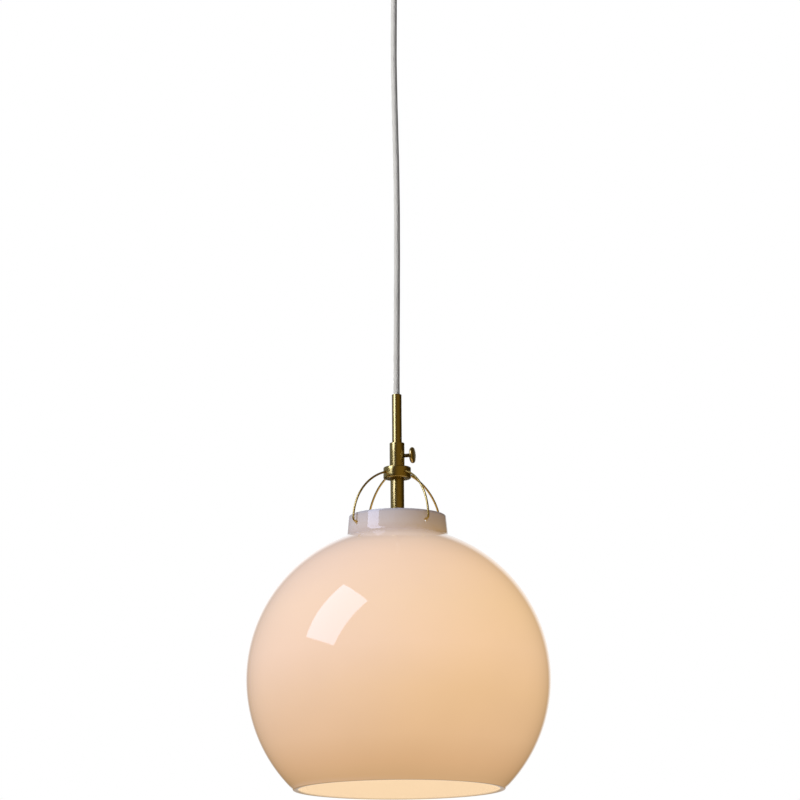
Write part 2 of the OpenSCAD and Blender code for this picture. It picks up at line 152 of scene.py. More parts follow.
def lathe(outline, turns=96, start=0.0, holes=()):
    """Turns a closed (r, z) outline about Z. A hole is a dict: angle, z, rows (first, last), columns
    (half the window's width), lips [(radius, depth), ...] and, where it goes through, inner rows."""
    count = len(outline)
    verts, index = [], {}
    for i, (r, z) in enumerate(outline):
        for k in range(turns):
            if r < 1e-7:
                if k == 0:
                    verts.append((0, 0, z))
                index[i, k] = len(verts) - 1
            else:
                a = start + TAU * k / turns
                verts.append((r * math.cos(a), r * math.sin(a), z))
                index[i, k] = len(verts) - 1
    skipped, faces = set(), []

    def window(rows, middle, half):
        """The grid points round a window, in order, as (row, column)."""
        i0, i1 = rows
        k0, k1 = middle - half, middle + half
        step = 1 if i1 > i0 else -1
        ring = [(i0, k) for k in range(k0, k1)]
        ring += [(i, k1) for i in range(i0, i1, step)]
        ring += [(i1, k) for k in range(k1, k0, -1)]
        ring += [(i, k0) for i in range(i1, i0, -step)]
        for i in range(min(i0, i1), max(i0, i1)):
            for k in range(k0, k1):
                skipped.add((i, k % turns))
        return ring

    def wall_radius(rows, z):
        (r0, z0), (r1, z1) = outline[rows[0]], outline[rows[1]]
        return r0 + (r1 - r0) * (z - z0) / (z1 - z0)

    def circle(ring, rows, hole, size, depth):
        """One point of the hole's circle for each point of the window, pushed in by depth."""
        points = []
        for i, k in ring:
            r, z = outline[i]
            across = r * (start + TAU * k / turns - hole["angle"])
            turn = math.atan2(z - hole["z"], across)
            high = hole["z"] + size * math.sin(turn)
            wall = wall_radius(rows, high)
            aside = size * math.cos(turn)
            # on the wall itself at no depth, and straight in along the hole's axis below it
            out = math.sqrt(max(wall**2 - aside**2, 0)) - depth
            a = hole["angle"]
            verts.append((out * math.cos(a) - aside * math.sin(a),
                          out * math.sin(a) + aside * math.cos(a), high))
            points.append(len(verts) - 1)
        return points

    def strip(a, b):
        """Quads between two closed rings of as many points."""
        for n in range(len(a)):
            m = (n + 1) % len(a)
            faces.append((a[n], a[m], b[m], b[n]))

    for hole in holes:
        middle = round((hole["angle"] - start) / TAU * turns)
        ring = window(hole["rows"], middle, hole["columns"])
        last = [index[i, k % turns] for i, k in ring]
        for size, depth in hole["lips"]:
            points = circle(ring, hole["rows"], hole, size, depth)
            strip(last, points)
            last = points
        if "inner_rows" in hole:
            inner = window(hole["inner_rows"], middle, hole["columns"])
            ends = [circle(inner, hole["inner_rows"], hole, size, -depth)
                    for size, depth in hole["lips"]]
            for points in reversed(ends):
                strip(last, points)
                last = points
            strip(last, [index[i, k % turns] for i, k in inner])
        else:
            faces.append(tuple(last))
    for i in range(count):
        j = (i + 1) % count
        for k in range(turns):
            if (i, k) in skipped:
                continue
            m = (k + 1) % turns
            corners = []
            for v in (index[i, k], index[i, m], index[j, m], index[j, k]):
                if v not in corners:
                    corners.append(v)
            if len(corners) > 2:
                faces.append(tuple(corners))
    return verts, faces


def bar(path, size, sides=16, relief=None):
    """A round bar with rounded ends along a path, whose frame is carried along without twist."""
    path = [Vector(p) for p in path]
    verts, faces = [], []
    along = (path[1] - path[0]).normalized()
    side = along.orthogonal().normalized()
    travelled = 0.0
    for n, point in enumerate(path):
        nxt, prev = path[min(n + 1, len(path) - 1)], path[max(n - 1, 0)]
        along = (nxt - prev).normalized()
        side = (side - along * side.dot(along)).normalized()
        up = along.cross(side)
        travelled += (point - prev).length
        for k in range(sides):
            a = TAU * k / sides
            r = size + (relief(a, travelled) if relief else 0)
            verts.append(point + r * (math.cos(a) * side + math.sin(a) * up))
    for n in range(len(path) - 1):
        for k in range(sides):
            m = (k + 1) % sides
            faces.append((n * sides + k, n * sides + m, (n + 1) * sides + m, (n + 1) * sides + k))
    for end, inner, flip in ((0, 1, True), (len(path) - 1, -2, False)):
        outward = (path[end] - path[inner]).normalized() * size
        base = list(range(end * sides, (end + 1) * sides))
        ring = base
        for share, lift in ((0.87, 0.25), (0.5, 0.43)):
            verts += [path[end] + (verts[v] - path[end]) * share + outward * lift for v in base]
            new = list(range(len(verts) - sides, len(verts)))
            for k in range(sides):
                m = (k + 1) % sides
                quad = (ring[k], ring[m], new[m], new[k])
                faces.append(quad[::-1] if flip else quad)
            ring = new
        faces.append(tuple(ring[::-1]) if flip else tuple(ring))
    return verts, faces


def smooth_path(points, spacing):
    """A Catmull-Rom curve through points, sampled about every spacing."""
    points = [Vector(p) for p in points]
    ends = [2 * points[0] - points[1]] + points + [2 * points[-1] - points[-2]]
    path = []
    for n in range(1, len(ends) - 2):
        a, b, c, d = ends[n - 1:n + 3]
        steps = max(1, round((c - b).length / spacing))
        for k in range(steps):
            t = k / steps
            path.append(0.5 * (2 * b + (c - a) * t + (2 * a - 5 * b + 4 * c - d) * t * t
                               + (3 * b - a - 3 * c + d) * t**3))
    return path + [points[-1]]


# --- cord --------------------------------------------------------------------------------------------

CORD_R = 3.1 * MM
CORD_ROUTE = [[x * MM, y * MM, z * MM] for x, y, z in (
    (0, 0, -36), (0, 0, -50), (-0.2, 0, -66), (-0.4, 0, -84), (-0.6, 0.1, -104), (-0.7, 0.2, -124),
    (-0.6, 0.3, -144), (-0.3, 0.3, -164), (0, 0.2, -184), (0.4, 0, -204), (0.8, -0.2, -224),
    (1.1, -0.3, -244), (1.3, -0.3, -264), (1.4, -0.2, -284), (1.4, -0.1, -304), (1.3, 0, -324),
    (1.2, 0.1, -344), (1, 0.2, -364), (0.8, 0.2, -384), (0.6, 0.2, -404), (0.4, 0.1, -424),
    (0.2, 0, -442), (0.1, 0, -456), (0, 0, -468), (0, 0, -483),
)]
CARRIERS = 10
BRAID_PITCH = 14 * MM


def braid(angle, along):
    """The relief of a round braid: two families of strands that go over and under each other."""
    climb = TAU * along / BRAID_PITCH
    a, b = (CARRIERS * (angle + climb) / TAU) % 2, (CARRIERS * (angle - climb) / TAU) % 2
    over = a if (math.floor(a) + math.floor(b)) % 2 == 0 else b
    return (math.sin(math.pi * (over % 1)) ** 0.7 - 0.75) * 0.16 * MM


cord_verts, cord_faces = bar(smooth_path(CORD_ROUTE, 0.7 * MM), CORD_R - 0.05 * MM, 40, braid)
cord = mesh_piece("braided_cord", cord_verts, cord_faces, "cord", "cord_white", ["cord"], crease=80)

# --- materials ---------------------------------------------------------------------------------------


class Material:
    """A node material. Plain values go straight on the main shader's own sockets."""

    def __init__(self, name, **values):
        self.data = bpy.data.materials.new(name)
        self.data.use_nodes = True
        self.shader = self.data.node_tree.nodes["Principled BSDF"]
        self.give(self.shader, **values)

    def give(self, node, **values):
        for key, value in values.items():
            socket = node.inputs[int(key[1:]) if key[0] == "_" else key.replace("_", " ")]
            if isinstance(value, bpy.types.NodeSocket):
                self.data.node_tree.links.new(value, socket)
            else:
                socket.default_value = value
        return node

    def add(self, kind, settings=None, **values):
        node = self.data.node_tree.nodes.new("ShaderNode" + kind)
        for key, value in (settings or {}).items():
            setattr(node, key, value)
        return self.give(node, **values)

    def math(self, operation, *values):
        node = self.add("Math", {"operation": operation}, **{f"_{n}": v for n, v in enumerate(values)})
        return node.outputs[0]

    def place(self):
        """The point on the piece, in the piece's own frame, as (vector, x, y, z)."""
        vector = self.add("TexCoord").outputs["Object"]
        split = self.add("SeparateXYZ", Vector=vector)
        return vector, *split.outputs

    def vector(self, x, y, z):
        return self.add("CombineXYZ", X=x, Y=y, Z=z).outputs[0]

    def noise(self, vector, scale, detail=3.0, roughness=0.5, stretch=None):
        if stretch is not None:
            vector = self.add("Mapping", Vector=vector, Scale=stretch).outputs[0]
        return self.add("TexNoise", Vector=vector, Scale=scale, Detail=detail,
                        Roughness=roughness).outputs[0]

    def spread(self, value, a, b, c, d):
        """Maps a to b of value onto c to d, held at both ends."""
        return self.add("MapRange", _0=value, _1=a, _2=b, _3=c, _4=d).outputs[0]

    def ramp(self, value, stops):
        """Colours by value, from a list of (position, colour) stops."""
        node = self.add("ValToRGB", _0=value)
        ramp = node.color_ramp
        while len(ramp.elements) < len(stops):
            ramp.elements.new(0.5)
        for element, (position, colour) in zip(ramp.elements, stops):
            element.position = position
            element.color = (*colour, 1)
        return node.outputs[0]

    def bump(self, height, strength, distance):
        return self.add("Bump", Height=height, Strength=strength, Distance=distance).outputs[0]

    def finish(self, **values):
        self.give(self.shader, **values)
        return self.data


def scaled(tone, by):
    """A darker or lighter tone."""
    return tuple(min(1, by * c) for c in tone)


def brass(name, tone, grain, roughness, grain_depth=0.0015 * MM, lacquer=0.7):
    """Satin brass. grain is "turned" for rings round Z, or "drawn" for streaks along Z."""
    m = Material(name, Metallic=1.0, Coat_Weight=lacquer, Coat_Roughness=0.12)
    point, x, y, z = m.place()
    if grain == "turned":
        across = m.math("SQRT", m.math("ADD", m.math("MULTIPLY", x, x), m.math("MULTIPLY", y, y)))
        turn = m.math("MULTIPLY", m.math("ARCTAN2", y, x), 0.0004)
        lines = m.noise(m.vector(across, turn, z), 2600.0, 4.0, 0.6)
    else:
        lines = m.noise(point, 2200.0, 4.0, 0.6, stretch=(1, 1, 0.006))
    patina = m.noise(point, 60.0, 5.0, 0.55)
    smear = m.noise(point, 260.0, 3.0, 0.5)
    colour = m.ramp(m.math("ADD", m.math("MULTIPLY", patina, 0.6), m.math("MULTIPLY", lines, 0.4)),
                    [(0.3, scaled(tone, 0.84)), (0.5, tone), (0.72, scaled(tone, 1.08))])
    rough = m.math("ADD", m.spread(smear, 0.3, 0.7, roughness - 0.01, roughness + 0.01),
                   m.spread(lines, 0.35, 0.65, -0.008, 0.008))
    return m.finish(Base_Color=colour, Roughness=rough, Normal=m.bump(lines, 0.3, grain_depth))


def plain(name, tone, roughness, grain=0.0, metallic=0.0, scale=300.0, spread=0.12, **values):
    """A moulded or plated surface: slight mottling of its colour and gloss, and a fine skin."""
    m = Material(name, Metallic=metallic, **values)
    point = m.place()[0]
    mottle = m.noise(point, scale * 0.3, 4.0)
    skin = m.noise(point, scale * 6, 3.0)
    colour = m.ramp(mottle, [(0.3, scaled(tone, 1 - spread)), (0.7, scaled(tone, 1 + spread / 2))])
    rough = m.spread(mottle, 0.3, 0.7, roughness * 0.85, min(1, roughness * 1.15))
    return m.finish(Base_Color=colour, Roughness=rough, Normal=m.bump(skin, 0.3, grain))


BRASS = (0.44, 0.34, 0.105)
WIRE_BRASS = (0.62, 0.46, 0.12)


def cord_cloth():
    """Bleached cotton: the threads of each strand, lighter on their crests and darker between them as painted
    shade, fuzz and a little soil.
    """
    m = Material("cord_cotton", Specular_IOR_Level=0.25, Sheen_Weight=0.35, Sheen_Roughness=0.5)
    threads_per_strand = 4
    point, x, y, z = m.place()
    turn = m.math("DIVIDE", m.math("ARCTAN2", y, x), TAU)
    climb = m.math("DIVIDE", z, BRAID_PITCH)
    threads = []
    for way in ("ADD", "SUBTRACT"):
        phase = m.math("MULTIPLY", m.math(way, turn, climb), TAU * CARRIERS * threads_per_strand)
        threads.append(m.math("SINE", phase))
    fibre = m.math("MULTIPLY", threads[0], threads[1])
    fuzz = m.noise(point, 2600.0, 3.0, 0.6)
    soil = m.noise(point, 60.0, 4.0)
    fuzz_shade_and_soil = m.math("ADD", m.math("MULTIPLY", fuzz, 0.5), m.math("MULTIPLY", soil, 0.5))
    # The threads' and the fuzz's relief also set the colour, lighter where they stand up and darker where
    # they sink: painted shade, over a little soil.
    tone = m.math("ADD", m.math("MULTIPLY", fibre, 0.12), fuzz_shade_and_soil)
    colour = m.ramp(tone, [(0.2, (0.60, 0.59, 0.57)), (0.5, (0.76, 0.755, 0.74)), (0.8, (0.84, 0.835, 0.82))])
    height = m.math("ADD", m.math("MULTIPLY", fibre, 0.5), fuzz)
    return m.finish(Base_Color=colour, Roughness=m.spread(fuzz, 0.3, 0.7, 0.75, 0.92),
                    Normal=m.bump(height, 0.5, 0.08 * MM))


# Glow by height, from the mouth at 0 to the rim at 1: brightest round the bulb, almost off in the neck.
opal_glow = [
    (0.00, (0.61, 0.365, 0.165)), (0.06, (0.685, 0.405, 0.19)), (0.15, (0.755, 0.465, 0.232)),
    (0.30, (0.81, 0.51, 0.255)), (0.46, (0.865, 0.56, 0.305)), (0.62, (0.88, 0.575, 0.30)),
    (0.74, (0.87, 0.565, 0.30)), (0.80, (0.85, 0.55, 0.295)), (0.86, (0.79, 0.52, 0.29)),
    (0.895, (0.67, 0.46, 0.27)), (0.922, (0.395, 0.235, 0.092)), (0.95, (0.298, 0.184, 0.08)),
    (0.99, (0.235, 0.15, 0.08)), (0.996, (0.14, 0.095, 0.065)),
]
inner_glow = [(0.0, (0.69, 0.50, 0.31)), (0.6, (0.72, 0.52, 0.33)), (0.92, (0.60, 0.47, 0.33)),
              (1.0, (0.62, 0.50, 0.38))]


def opal_glass(name, glow, skin):
    """Lit opal glass. glow and skin are its light and its own colour, by height."""
    m = Material(name, IOR=1.5, Specular_IOR_Level=0.0, Coat_Weight=1.0, Coat_IOR=1.5, Coat_Roughness=0.04,
                 Emission_Strength=1.06)
    point, _, _, z = m.place()
    rise = m.spread(z, MOUTH_Z, RIM_Z, 0.0, 1.0)
    cloud = m.noise(point, 14.0, 3.0)
    shade = m.spread(cloud, 0.3, 0.7, 0.985, 1.015)
    glowing = m.add("VectorMath", {"operation": "SCALE"}, Vector=m.ramp(rise, glow), Scale=shade).outputs[0]
    ripple = m.noise(point, 22.0, 2.0)
    seeds = m.noise(point, 900.0, 2.0)
    return m.finish(Base_Color=m.ramp(rise, skin), Emission_Color=glowing,
                    Roughness=m.spread(seeds, 0.3, 0.7, 0.3, 0.4),
                    Coat_Normal=m.bump(ripple, 0.12, 0.6 * MM))


NECK_SKIN = (0.34, 0.39, 0.52)
opal_outside = opal_glass("opal_outside", opal_glow, [
    (0.0, (0.04, 0.11, 0.25)), (0.90, (0.05, 0.12, 0.26)), (0.95, NECK_SKIN), (1.0, NECK_SKIN)])
opal_inside = opal_glass("opal_inside", inner_glow, [(0.0, (0.22, 0.22, 0.22)), (1.0, (0.4, 0.4, 0.4))])


def lit_glass():
    """The bulb's frosted globe, warmer and dimmer towards its cap."""
    m = Material("bulb_lit", IOR=1.5, Roughness=0.3, Base_Color=(0.9, 0.88, 0.84, 1), Emission_Strength=3.0)
    point, _, _, z = m.place()
    frost = m.noise(point, 700.0, 3.0)
    rise = m.spread(z, low("bulb_glass"), high("bulb_glass"), 0.0, 1.0)
    glow = m.ramp(rise, [(0.0, (1.0, 0.78, 0.50)), (0.6, (1.0, 0.74, 0.45)), (1.0, (0.7, 0.45, 0.25))])
    return m.finish(Emission_Color=glow, Roughness=m.spread(frost, 0.3, 0.7, 0.25, 0.4),
                    Normal=m.bump(frost, 0.2, 0.05 * MM))


slot_materials = {
    "brass_drawn": brass("brass_drawn", BRASS, "drawn", 0.26, 0.0005 * MM),
    # The turned pieces take a copy of the brass 12 % lighter: painted light, for a brighter highlight on the
    # ring and the other turned pieces.
    "brass_turned": brass("brass_turned", scaled(BRASS, 1.12), "turned", 0.24, 0.004 * MM),
    "brass_spun": brass("brass_spun", BRASS, "turned", 0.34, 0.01 * MM),
    "brass_wire": brass("brass_wire", WIRE_BRASS, "drawn", 0.3, 0.0005 * MM),
    "spring_brass": plain("spring_brass", (0.70, 0.48, 0.24), 0.22, 0.01 * MM, 1.0),
    "steel": plain("zinc_steel", (0.60, 0.61, 0.62), 0.36, 0.02 * MM, 1.0, spread=0.25),
    "nickel": plain("nickel_plate", (0.68, 0.66, 0.62), 0.2, 0.01 * MM, 1.0),
    "opal_glass": opal_outside, "bulb_glass": lit_glass(),
    "clear_glass": plain("clear_glass", (0.92, 0.94, 0.92), 0.06, 0.0, 0.0, Transmission_Weight=1.0, IOR=1.5),
    "filament": plain("filament", (1.0, 0.7, 0.3), 0.5, 0.01 * MM, 0.0,
                      Emission_Color=(1.0, 0.66, 0.30, 1), Emission_Strength=6.0),
    "cord_white": cord_cloth(),
    "white_plastic": plain("nylon", (0.84, 0.83, 0.80), 0.42, 0.02 * MM, spread=0.05),
    "porcelain": plain("porcelain", (0.88, 0.87, 0.84), 0.12, 0.02 * MM, spread=0.05, Coat_Weight=0.6),
    "black_glass": plain("black_glass", (0.03, 0.03, 0.034), 0.12, 0.01 * MM),
    "core_brown": plain("core_brown", (0.22, 0.10, 0.05), 0.4, 0.02 * MM),
    "core_blue": plain("core_blue", (0.07, 0.20, 0.55), 0.4, 0.02 * MM),
    "core_green": plain("core_green", (0.30, 0.50, 0.08), 0.4, 0.02 * MM),
}
node_slots = {s["node"]: s["material_slot"] for s in frame["record"]["subparts"]}
for node_name, cad_node in frame["nodes"].items():
    cad_node.data.materials.clear()
    cad_node.data.materials.append(slot_materials[node_slots[node_name]])
cord.data.materials.append(slot_materials["cord_white"])


def piece(name, shape, body, slot, replaces, **options):
    """A piece from (verts, faces), in its slot's material."""
    made = mesh_piece(name, *shape, body, slot, replaces, **options)
    made.data.materials.append(slot_materials[slot])
    return made


# --- glass shade -------------------------------------------------------------------------------------


def ball_point(r, angle):
    """A point (r, z) of a sphere round the ball's centre, at an angle from straight up."""
    return Vector((r * math.sin(angle), BALL_Z + r * math.cos(angle)))


def shade_outline():
    """The closed outline: up the outside, round the neck's rim, down the inside, round the mouth.
    Also gives the rows between which the neck's straight walls run, outside and inside."""
    inner_r = SHADE_R - GLASS_T
    edge = 1.1 * MM
    neck_angle = math.asin(NECK_BASE_R / SHADE_R)
    ease = math.radians(2.0)
    neck_rows = 14

    def wall(r, first, last, count):
        return [ball_point(r, first + (last - first) * n / count) for n in range(count + 1)]

    def neck(inset):
        base, rim = Vector((NECK_BASE_R - inset, NECK_Z)), Vector((NECK_RIM_R - inset, RIM_Z))
        lift = 3.0 * MM
        foot = base + (rim - base).normalized() * lift
        top = rim - (rim - base).normalized() * edge
        return [foot + (top - foot) * n / neck_rows for n in range(neck_rows + 1)]

    def above_mouth(r):
        return math.acos((MOUTH_Z + edge - BALL_Z) / r)

    outer = wall(SHADE_R, above_mouth(SHADE_R), neck_angle + ease, 72)
    outer_neck = neck(0)
    fillet = curve_between(outer[-2], outer[-1], outer_neck[0], outer_neck[1], 6)
    inner_neck = neck(GLASS_T)[::-1]
    inner_start = math.asin((NECK_BASE_R - GLASS_T) / inner_r) + ease
    inner = wall(inner_r, inner_start, above_mouth(inner_r), 72)
    inner_fillet = curve_between(inner_neck[-2], inner_neck[-1], inner[0], inner[1], 6)
    rim = cut_edge(outer_neck[-1], inner_neck[0], RIM_Z, edge)
    mouth = cut_edge(inner[-1], outer[0], MOUTH_Z, edge)
    outline = outer + fillet + outer_neck
    outer_rows = (len(outer) + len(fillet), len(outline) - 1)
    outline += rim
    inner_first = len(outline)
    outline += inner_neck
    inner_rows = (inner_first + neck_rows, inner_first)
    outline += inner_fillet + inner + mouth
    return outline, outer_rows, inner_rows


def curve_between(before, start, end, after, count):
    """Points of a smooth turn from start to end, without them, that leaves and arrives in line."""
    reach = (end - start).length * 0.5
    a, b = start + (start - before).normalized() * reach, end - (after - end).normalized() * reach
    points = []
    for n in range(1, count):
        t = n / count
        points.append((1 - t)**3 * start + 3 * (1 - t)**2 * t * a + 3 * (1 - t) * t * t * b + t**3 * end)
    return points


def cut_edge(start, end, z, edge, count=5):
    """Points from start to end, without them, round a flat-ground edge at height z."""
    across = (end - start).normalized()
    points = []
    for foot, way in ((start, 1), (end, -1)):
        corner = Vector((foot.x, z))
        flat = corner + Vector((way * math.copysign(edge, across.x), 0))
        arc = []
        for n in range(1, count + 1):
            t = n / count
            arc.append((1 - t)**2 * foot + 2 * (1 - t) * t * corner + t * t * flat)
        points += arc if way == 1 else arc[::-1]
    return points


HOLE_Z = -615.09 * MM
outline, outer_rows, inner_rows = shade_outline()


def nearest_rows(rows, z, reach):
    """The first and last of the given rows of the shade's outline that lie within reach of z."""
    step = 1 if rows[1] > rows[0] else -1
    inside = [i for i in range(rows[0], rows[1] + step, step) if abs(outline[i].y - z) < reach]
    return inside[0], inside[-1]


HOLE_REACH = 5.2 * MM
shade_holes = [
    {"angle": a, "z": HOLE_Z, "rows": nearest_rows(outer_rows, HOLE_Z, HOLE_REACH),
     "inner_rows": nearest_rows(inner_rows, HOLE_Z, HOLE_REACH), "columns": 3,
     "lips": [(2.9 * MM, 0), (2.35 * MM, 0), (2.1 * MM, 0.12 * MM), (2.0 * MM, 0.4 * MM)]}
    for a in WIRE_TURNS
]
shade = piece("opal_shade", lathe(outline, 192, WIRE_TURNS[0], shade_holes), "hanger", "opal_glass",
              ["glass_shade"])
shade.data.materials.append(opal_inside)
for face in shade.data.polygons:
    c = face.center
    if c.z < NECK_Z:
        depth = SHADE_R - Vector((c.x, c.y, c.z - BALL_Z)).length
    else:
        depth = NECK_RIM_R - Vector((c.x, c.y)).length
    if depth > GLASS_T * 0.6:
        face.material_index = 1

# --- stem, sleeve, ring and spacer -------------------------------------------------------------------


def outline_of(corners, steps=4):
    """A rounded outline from corners in millimetres."""
    return rounded([tuple(v * MM for v in c) for c in corners], steps)


def turned(corners, steps=4):
    """A plain turned solid from corners in millimetres."""
    return lathe(outline_of(corners, steps))


def mm(value):
    """Metres as millimetres."""
    return value / MM


# Where the turned pieces begin and end, and their radii, in millimetres.
stem_top, stem_low = mm(high("stem_tube")), mm(low("stem_tube"))
ring_top, ring_low = mm(RING_TOP), mm(low("hanger_ring"))
sleeve_top = mm(high("slide_sleeve"))
cap_top, cap_low = mm(high("holder_cap")), mm(high("holder_skirt"))
TUBE_R, TUBE_BORE_R = 4.9, 3.6
SLIDE_BORE_R = 4.95
SPACER_R, SLEEVE_R, RING_R = 6.9, 7.5, 13.85

piece("stem", turned([
    (TUBE_BORE_R, stem_low), (TUBE_R, stem_low), (TUBE_R, stem_top, 0.9), (4.1, stem_top, 0.3),
    (TUBE_BORE_R, stem_top - 3.2)]), "stem", "brass_drawn", ["stem_tube"])
piece("spacer", turned([
    (SLIDE_BORE_R, cap_top, 0.2), (SPACER_R, cap_top, 0.3), (SPACER_R, ring_low, 0.3),
    (SLIDE_BORE_R, ring_low, 0.2)]), "stem", "brass_drawn", ["spacer_tube"])


def rows_at(shape, r, z, reach):
    """The rows of a turned outline where it passes z - reach and z + reach at radius r, in millimetres."""
    def row(at):
        return min(range(len(shape)), key=lambda i: (shape[i] - Vector((r * MM, at * MM))).length)
    return row(z - reach), row(z + reach)


def hole(angle, z, columns, lips, rows, inner_rows=None):
    """A hole for lathe(), with its place and its lips in millimetres."""
    made = {"angle": angle, "z": z * MM, "columns": columns, "rows": rows,
            "lips": [(size * MM, depth * MM) for size, depth in lips]}
    return made if inner_rows is None else made | {"inner_rows": inner_rows}


clamp_z = mm(CLAMP_Z)
CLAMP_REACH = 3
sleeve_shape = outline_of([
    (SLIDE_BORE_R, ring_low), (SLEEVE_R, ring_low), (SLEEVE_R, clamp_z - CLAMP_REACH),
    (SLEEVE_R, clamp_z + CLAMP_REACH), (SLEEVE_R, sleeve_top, 0.5), (SLIDE_BORE_R, sleeve_top, 0.25)])
sleeve_hole = hole(CLAMP_TURN, clamp_z, 6, [(2.4, 0), (2.12, 0.28), (2.08, 2.2)],
                   rows_at(sleeve_shape, SLEEVE_R, clamp_z, CLAMP_REACH))
piece("sleeve", lathe(sleeve_shape, 96, CLAMP_TURN, [sleeve_hole]), "hanger", "brass_drawn",
      ["slide_sleeve"])

wire_z = (ring_top + ring_low) / 2
WIRE_REACH = 1.9
ring_shape = outline_of([
    (SLEEVE_R, ring_low, 0.2), (RING_R, ring_low, 1.0), (RING_R, wire_z - WIRE_REACH),
    (RING_R, wire_z + WIRE_REACH), (RING_R, ring_top, 1.0), (SLEEVE_R, ring_top, 0.2)])
ring_holes = [hole(a, wire_z, 2, [(1.55, 0), (1.2, 0.3), (1.12, 1.8)],
                   rows_at(ring_shape, RING_R, wire_z, WIRE_REACH)) for a in WIRE_TURNS]
piece("ring", lathe(ring_shape, 96, WIRE_TURNS[0], ring_holes), "hanger", "brass_turned", ["hanger_ring"])

# --- hanger wires ------------------------------------------------------------------------------------

WIRE_R, ARC_R, HOOK_R = 1.05, 54.6, 3.3
DROOP, WIRE_END = math.radians(16.4), math.radians(88)
TAIL_END = 43.4


def wire_path():
    """Outwards from the ring, in the plane Y = 0: a long arc, the hook and the tail in the glass."""
    path = [(RING_R - s * math.cos(DROOP), wire_z + s * math.sin(DROOP)) for s in (4.5, 2)]
    for k in range(41):
        a = DROOP + (WIRE_END - DROOP) * k / 40
        path.append((RING_R + ARC_R * (math.sin(a) - math.sin(DROOP)),
                     wire_z + ARC_R * (math.cos(a) - math.cos(DROOP))))
    out, down = path[-1]
    for k in range(1, 17):
        a = WIRE_END + (math.pi - WIRE_END) * k / 16
        path.append((out + HOOK_R * (math.sin(a) - math.sin(WIRE_END)),
                     down + HOOK_R * (math.cos(a) - math.cos(WIRE_END))))
    tail_r, tail_z = path[-1]
    path += [(tail_r - 3.2, tail_z), (TAIL_END, tail_z)]
    return [Vector((r * MM, 0, z * MM)) for r, z in path]


for number, turn in enumerate(WIRE_TURNS, 1):
    turned_path = [Matrix.Rotation(turn, 3, "Z") @ p for p in wire_path()]
    piece(f"wire_{number}", bar(turned_path, WIRE_R * MM, 20), "hanger", "brass_wire",
          [f"hanger_wire_{number}"], crease=60)

# --- clamp screw -------------------------------------------------------------------------------------

clamp_place = (Matrix.Translation((0, 0, CLAMP_Z)) @ Matrix.Rotation(CLAMP_TURN, 4, "Z")
               @ Matrix.Rotation(math.pi / 2, 4, "Y"))


def thread(first, last, crest, root, pitch, turns=48, per_pitch=8):
    """A screw along Z with a real helical thread, chamfered at its first end."""
    rows = round((last - first) / pitch * per_pitch)
    verts, faces = [], []
    for n in range(rows + 1):
        z = first + (last - first) * n / rows
        for k in range(turns):
            phase = (z / pitch - k / turns) % 1
            cut = abs(2 * phase - 1)
            r = root + (crest - root) * min(1, max(0, 1.35 * cut - 0.15))
            r = min(r, root + (z - first) * 1.2)
            a = TAU * k / turns
            verts.append((r * math.cos(a), r * math.sin(a), z))
    for n in range(rows):
        for k in range(turns):
            m = (k + 1) % turns
            faces.append((n * turns + k, n * turns + m, (n + 1) * turns + m, (n + 1) * turns + k))
    faces.append(tuple(range(turns))[::-1])
    faces.append(tuple(rows * turns + k for k in range(turns)))
    return verts, faces


screw = thread(first=6.25 * MM, last=13.7 * MM, crest=2.0 * MM, root=1.62 * MM, pitch=0.7 * MM)
clamp_thread = piece("clamp_thread", screw, "clamp_screw", "brass_turned", ["clamp_screw"],
                     place=clamp_place)
# The thread takes a copy of the brass at 0.6 of its tone: painted shade in the thread's grooves.
clamp_thread.data.materials[0] = brass("brass_thread_painted_shade", scaled(BRASS, 0.6), "drawn", 0.45, lacquer=0.0)
knob = piece("knob", turned([
    (0, 13.6), (3.2, 13.6, 0.3), (3.5, 14.0, 0.4), (8.1, 14.0, 1.7), (8.1, 17.6, 1.7),
    (4.0, 18.15, 6), (0, 18.2)]),
    "clamp_screw", "brass_turned", ["clamp_knob"], place=clamp_place)
# The knob takes a lighter copy of the brass: painted light, so that it shows as bright as a lit face.
knob.data.materials[0] = brass("brass_knob_painted_light", (0.72, 0.56, 0.22), "turned", 0.3, 0.006 * MM)

# --- ceiling cup and cord grip -----------------------------------------------------------------------

cup_top, cup_low = mm(high("canopy_cup")), mm(low("canopy_cup"))
CUP_R, CUP_IN_R, CUP_BORE_R = 50, 49, 5.05
SIDE_Z, SIDE_REACH = -8, 3
cup_shape = outline_of([
    (CUP_BORE_R, cup_low, 0.25), (CUP_R, cup_low, 9), (CUP_R, SIDE_Z - SIDE_REACH),
    (CUP_R, SIDE_Z + SIDE_REACH), (CUP_R, cup_top, 0.35), (CUP_IN_R, cup_top, 0.25),
    (CUP_IN_R, SIDE_Z + SIDE_REACH), (CUP_IN_R, SIDE_Z - SIDE_REACH), (CUP_IN_R, cup_low + 1, 8),
    (CUP_BORE_R, cup_low + 1, 0.25)], 10)
cup_holes = [hole(a, SIDE_Z, 2, [(2.0, 0), (1.75, 0.2)], rows_at(cup_shape, CUP_R, SIDE_Z, SIDE_REACH),
                  rows_at(cup_shape, CUP_IN_R, SIDE_Z, SIDE_REACH)) for a in (0, math.pi)]
piece("cup", lathe(cup_shape, 192, 0.0, cup_holes), "ceiling", "brass_spun", ["canopy_cup"])

